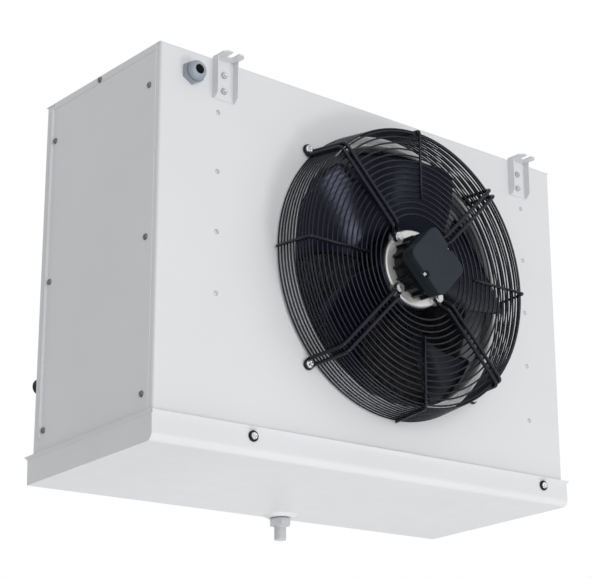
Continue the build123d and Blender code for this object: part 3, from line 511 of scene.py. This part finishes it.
def blade(number):
    """Sickle blade wrapped round the axis, with thinned edges and rounded tip corners."""
    rows, cols = 26, 30
    front, back = [], []
    for i in range(rows):
        radius = SECTIONS[0][0] + (SECTIONS[2][0] - SECTIONS[0][0]) * i / (rows - 1)
        chord, pitch, lead = section(radius)
        nip = max(0, radius - TIP_FROM) / TIP_REACH
        shorten = 1 - 0.07 * nip * nip
        pitch = math.radians(pitch)
        for j in range(cols):
            t = (2 * j / (cols - 1) - 1) * shorten
            rise = CAMBER * chord * (1 - t * t)
            thick = HALF_T * (1 - 0.75 * t ** 6)
            for side, store in ((1, front), (-1, back)):
                off = rise + side * thick - HALF_T
                axial = math.sin(pitch) * chord / 2 * t + math.cos(pitch) * off
                across = math.cos(pitch) * chord / 2 * t - math.sin(pitch) * off
                angle = number * 360 / BLADES + lead + math.degrees(across / radius)
                store.append(around(radius * MM, angle, BLADE_Y + axial * MM))
    faces = []
    count = rows * cols
    for i in range(rows - 1):
        for j in range(cols - 1):
            a = i * cols + j
            faces.append((a, a + 1, a + cols + 1, a + cols))
            faces.append((count + a + cols, count + a + cols + 1, count + a + 1, count + a))
    rim = list(range(cols)) + [i * cols + cols - 1 for i in range(1, rows)]
    rim += [(rows - 1) * cols + j for j in range(cols - 2, -1, -1)] + [i * cols for i in range(rows - 2, 0, -1)]
    for a, b in zip(rim, rim[1:] + rim[:1]):
        faces.append((a, count + a, count + b, b))
    return front + back, faces


def band(rows, sides=72):
    """Ring wall about the fan axis from (radius, y) corners, closed on itself."""
    verts, faces = [], []
    for radius, y in rows:
        verts += [around(radius, 360 * k / sides, y) for k in range(sides)]
    for row in range(len(rows)):
        low_row, high_row = row * sides, ((row + 1) % len(rows)) * sides
        for k in range(sides):
            nxt = (k + 1) % sides
            faces.append((low_row + k, high_row + k, high_row + nxt, low_row + nxt))
    return verts, faces


HUB_GAP = 0.1 * MM
hub = band([(70 * MM, hub_low.y + 1 * MM), (69 * MM, hub_low.y + HUB_GAP), (66.3 * MM, hub_low.y + HUB_GAP),
            (66.1 * MM, hub_high.y - HUB_GAP), (69 * MM, hub_high.y - HUB_GAP), (70 * MM, hub_high.y - 1 * MM)])
add_mesh("impeller_moulding", *join([blade(k) for k in range(BLADES)] + [hub]), "blade_black", "fan",
         ["impeller"])


# ---- fan collar ---------------------------------------------------------------------------
# (radius, distance behind the panel's face) in mm: out along the flare, round the lip, back down the bore
collar = [(241, 0.1), (237, -1.2), (234, -4), (232.4, -8), (231.6, -13), (231.4, -20), (231.2, -21.6),
          (230.5, -22.3), (229.8, -21.6), (229.7, -20), (229.7, 6), (230.8, 6), (231, -6), (232, -3),
          (234, -1), (237, 0.4)]
add_mesh("fan_collar", *band([(radius * MM, PANEL_Y + y * MM) for radius, y in collar], 144),
         "casing_paint", "casing")


# ---- cable gland and drain ----------------------------------------------------------------
def front_place(node):
    """Placement on a node's rear face, facing the front, and its length and radius."""
    low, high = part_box(node)
    middle = centre(low, high)
    return facing((middle.x, high.y, middle.z), (0, -1, 0)), high.y - low.y, (high.x - low.x) / 2


place, length, radius = front_place("gland_cap")
bore = 8.0 * MM             # radius of the cable hole
nut = add_mesh("gland_dome_nut", *polar(place, [
    (bore, 0.0, False), (radius * 0.9, 0, False), (radius, 1.2 * MM, True), (radius, length * 0.5, True),
    (radius * 0.94, length * 0.72, True), (radius * 0.82, length * 0.88, False),
    (radius * 0.66, length * 0.97, False), (bore * 1.15, length, False), (bore, length * 0.96, False),
    (bore * 0.98, 0.3 * MM, False)], 96, ribs=24), "gland_grey", "casing", ["gland_cap"])
nut.data.materials.append(MATERIALS["rubber_black"])      # the dark seal in the cable hole
axis_x, axis_z = place.translation.x, place.translation.z
for face in nut.data.polygons:
    if all(math.hypot(nut.data.vertices[i].co.x - axis_x, nut.data.vertices[i].co.z - axis_z) < bore * 1.02
           for i in face.vertices):
        face.material_index = 1

drain_low, drain_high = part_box("drain_spigot")
drain = centre(drain_low, drain_high)
tip_z = drain_low.z
CREST_R, ROOT_R = 10.95, 10.35   # thread, mm
HALF_THREAD = 1.05               # from a root to the next crest, mm
thread = [(8.8 * MM, 0.0, False), (10.2 * MM, 0, False)]
for k in range(22):
    thread.append(((CREST_R if k % 2 else ROOT_R) * MM, (1 + k * HALF_THREAD) * MM, False))
thread += [(11.9 * MM, 24 * MM, False), (11.9 * MM, 44 * MM, False), (15.9 * MM, 44 * MM, False),
           (15.9 * MM, 44.9 * MM, False), (8.9 * MM, 44.9 * MM, False), (8.8 * MM, 0.3 * MM, False)]
add_mesh("drain_thread", *polar(facing((drain.x, drain.y, tip_z), (0, 0, 1)), thread, 48),
         "drain_plastic", "pan", ["drain_spigot"])


# ---- coil ---------------------------------------------------------------------------------
fin_low, fin_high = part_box("coil_fins")
FIN_COUNT = 168
STEPS = 14                  # flats of a fin's ripple
RIPPLE = 0.55 * MM
FIN_HALF_T = 0.13 * MM
FIN_MARGIN = 0.9 * MM       # from the pack's end to its outer fin
verts, faces = [], []
for k in range(FIN_COUNT):
    x = fin_low.x + FIN_MARGIN + (fin_high.x - fin_low.x - 2 * FIN_MARGIN) * k / (FIN_COUNT - 1)
    base = len(verts)
    for side in (-1, 1):
        for step in range(STEPS + 1):
            ripple = RIPPLE * (1 if step % 2 else -1) + side * FIN_HALF_T
            y = fin_low.y + (fin_high.y - fin_low.y) * step / STEPS
            verts += [(x + ripple, y, fin_low.z), (x + ripple, y, fin_high.z)]
    across = 2 * (STEPS + 1)
    for step in range(STEPS):
        a = base + 2 * step
        faces.append((a, a + 1, a + 3, a + 2))
        faces.append((a + across, a + across + 2, a + across + 3, a + across + 1))
        faces.append((a, a + 2, a + across + 2, a + across))
        faces.append((a + 1, a + across + 1, a + across + 3, a + 3))
    for a in (base, base + 2 * STEPS):
        faces.append((a, a + across, a + across + 1, a + 1))
add_mesh("coil_fin_pack", verts, faces, "fin_alu", "casing", ["coil_fins"], smooth=False)


# ---- camera, light and stage --------------------------------------------------------------
CAMERA_AT = (-1.8295, -2.1877, -1.1861)
LENS = 101.73
SHIFT = (-0.1007, 0.0609)   # the photograph's framing
camera_data = bpy.data.cameras.new("camera")
camera = bpy.data.objects.new("camera", camera_data)
bpy.context.collection.objects.link(camera)
AHEAD = Vector((0.63220, 0.72176, 0.28176)).normalized()
SIDE = Vector((0.75429, -0.65646, -0.01084))
SIDE = (SIDE - AHEAD * SIDE.dot(AHEAD)).normalized()
ABOVE = SIDE.cross(AHEAD)
camera.matrix_world = Matrix.Translation(CAMERA_AT) @ Matrix(
    (SIDE, ABOVE, -AHEAD)).transposed().to_4x4()
camera_data.sensor_width = 36
camera_data.lens = LENS
camera_data.shift_x, camera_data.shift_y = SHIFT
bpy.context.scene.camera = camera


def area_light(name, location, target, size, power):
    """Square softbox aimed at a target."""
    data = bpy.data.lights.new(name, "AREA")
    data.size = size
    data.energy = power
    lamp = bpy.data.objects.new(name, data)
    bpy.context.collection.objects.link(lamp)
    lamp.location = location
    lamp.rotation_mode = "QUATERNION"
    lamp.rotation_quaternion = (Vector(target) - Vector(location)).to_track_quat("-Z", "Y")


area_light("key", (0.95, -3.4, -2.2), (-0.1, -0.2, -0.25), 0.85, 26)
area_light("front", (-1.2, -4.7, -0.2), (0, 0, -0.3), 2.4, 72)
area_light("under", (0.1, -0.1, -2.25), (0.1, 0, -0.6), 1.4, 10)

FILL = 0.55                 # world light on the object; the background that is seen stays at 1
FLOOR_Z = -3.4
world = bpy.data.worlds.new("studio")
bpy.context.scene.world = world
world.use_nodes = True
nodes, links = world.node_tree.nodes, world.node_tree.links
background = nodes["Background"]
background.inputs["Color"].default_value = (1, 1, 1, 1)
path = nodes.new("ShaderNodeLightPath")
seen = nodes.new("ShaderNodeMath")
seen.operation = "MAXIMUM"
links.new(path.outputs["Is Camera Ray"], seen.inputs[0])
through = nodes.new("ShaderNodeMath")
through.operation = "MAXIMUM"
links.new(path.outputs["Is Glossy Ray"], through.inputs[0])
links.new(path.outputs["Is Transmission Ray"], through.inputs[1])
links.new(through.outputs["Value"], seen.inputs[1])
strength = nodes.new("ShaderNodeMapRange")
strength.inputs["To Min"].default_value = FILL
strength.inputs["To Max"].default_value = 1.0
links.new(seen.outputs["Value"], strength.inputs["Value"])
links.new(strength.outputs["Result"], background.inputs["Strength"])

floor_mesh = bpy.data.meshes.new("floor")
edit = bmesh.new()
bmesh.ops.create_grid(edit, x_segments=8, y_segments=8, size=6)
edit.to_mesh(floor_mesh)
edit.free()
floor = bpy.data.objects.new("floor", floor_mesh)
floor.location = (0, 0, FLOOR_Z)
bpy.context.collection.objects.link(floor)
floor_mesh.materials.append(finish_material("floor_pale", (0.86, 0.86, 0.87), 0.7, grain=60,
                                            grain_strength=0.05, cloud=0.6, cloud_range=(0.98, 1.01)))

bpy.context.scene.view_settings.view_transform = "Standard"
